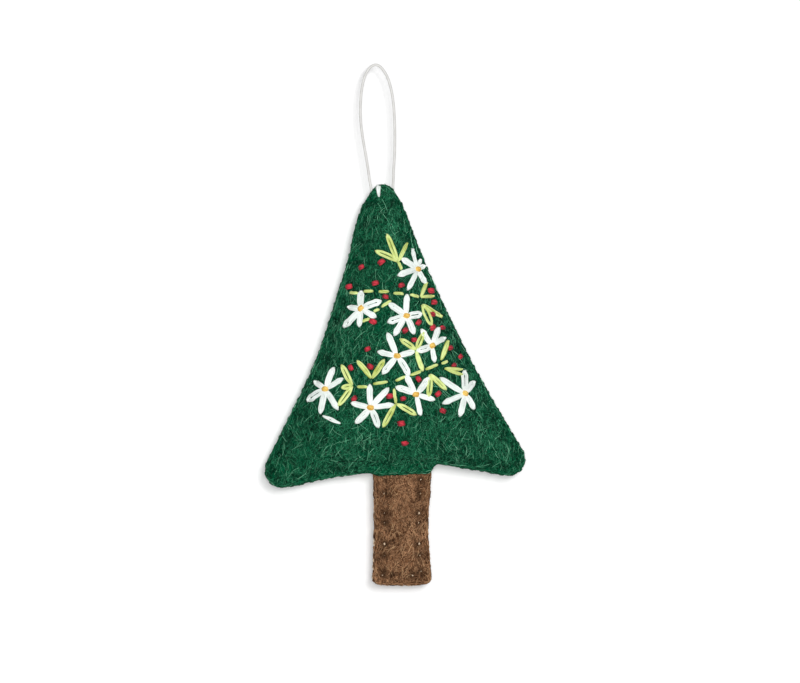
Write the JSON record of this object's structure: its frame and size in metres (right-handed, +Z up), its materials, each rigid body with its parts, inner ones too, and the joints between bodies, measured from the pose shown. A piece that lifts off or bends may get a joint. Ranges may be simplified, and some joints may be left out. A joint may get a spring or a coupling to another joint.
{
  "type": "fabric tree ornament",
  "caption": "Stuffed green felt tree with a brown felt trunk, hand-embroidered flowers, leaves and berries on the front, overcast edges and a white cord loop to hang it by.",
  "frame": {"origin": "inside of the crown of the hanging loop, where the loop rests on a hook or twig", "axes": "+Z up along the hanging loop; the embroidered front faces -Y; +X to the right as seen from the front"},
  "size_m": [0.0781, 0.0245, 0.1549],
  "materials": {
    "green_felt": "matte",
    "brown_felt": "matte",
    "green_thread": "matte",
    "brown_thread": "matte",
    "fibre_fill": "matte",
    "white_cord": "matte",
    "white_floss": "matte",
    "lime_floss": "matte",
    "yellow_floss": "matte",
    "red_floss": "matte"
  },
  "bodies": {
    "loop": {"hanging_loop": "white_cord"},
    "tree": {"loop_tie": "white_cord", "front_panel": "green_felt", "back_panel": "green_felt", "stuffing": "fibre_fill", "right_edge_stitching": "green_thread", "left_edge_stitching": "green_thread", "trunk_front_panel": "brown_felt", "trunk_back_panel": "brown_felt", "trunk_stuffing": "fibre_fill", "trunk_stitching": "brown_thread", "daisy_1": "white_floss", "daisy_2": "white_floss", "daisy_3": "white_floss", "daisy_4": "white_floss", "daisy_5": "white_floss", "daisy_6": "white_floss", "daisy_7": "white_floss", "daisy_8": "white_floss", "daisy_9": "white_floss", "daisy_eye_1": "yellow_floss", "daisy_eye_2": "yellow_floss", "daisy_eye_3": "yellow_floss", "daisy_eye_4": "yellow_floss", "daisy_eye_5": "yellow_floss", "daisy_eye_6": "yellow_floss", "daisy_eye_7": "yellow_floss", "daisy_eye_8": "yellow_floss", "daisy_eye_9": "yellow_floss", "upper_garland": "lime_floss", "lower_garland": "lime_floss", "twig": "lime_floss", "top_sprig": "lime_floss", "side_sprig": "lime_floss", "bottom_sprig": "lime_floss", "berry_1": "red_floss", "berry_2": "red_floss", "berry_3": "red_floss", "berry_4": "red_floss", "berry_5": "red_floss", "berry_6": "red_floss", "berry_7": "red_floss", "berry_8": "red_floss", "berry_9": "red_floss", "berry_10": "red_floss", "berry_11": "red_floss", "berry_12": "red_floss", "berry_13": "red_floss", "berry_14": "red_floss", "berry_15": "red_floss", "berry_16": "red_floss", "berry_17": "red_floss", "berry_18": "red_floss", "berry_19": "red_floss", "berry_20": "red_floss", "berry_21": "red_floss", "berry_22": "red_floss", "berry_23": "red_floss", "berry_24": "red_floss", "berry_25": "red_floss"}
  },
  "joints": [
    {"name": "tree_swing", "type": "hinge", "parent": "loop", "child": "tree", "pos_m": [0, 0, -0.0359], "axis": [1, 0, 0], "range_deg": [-90, 90]}
  ]
}
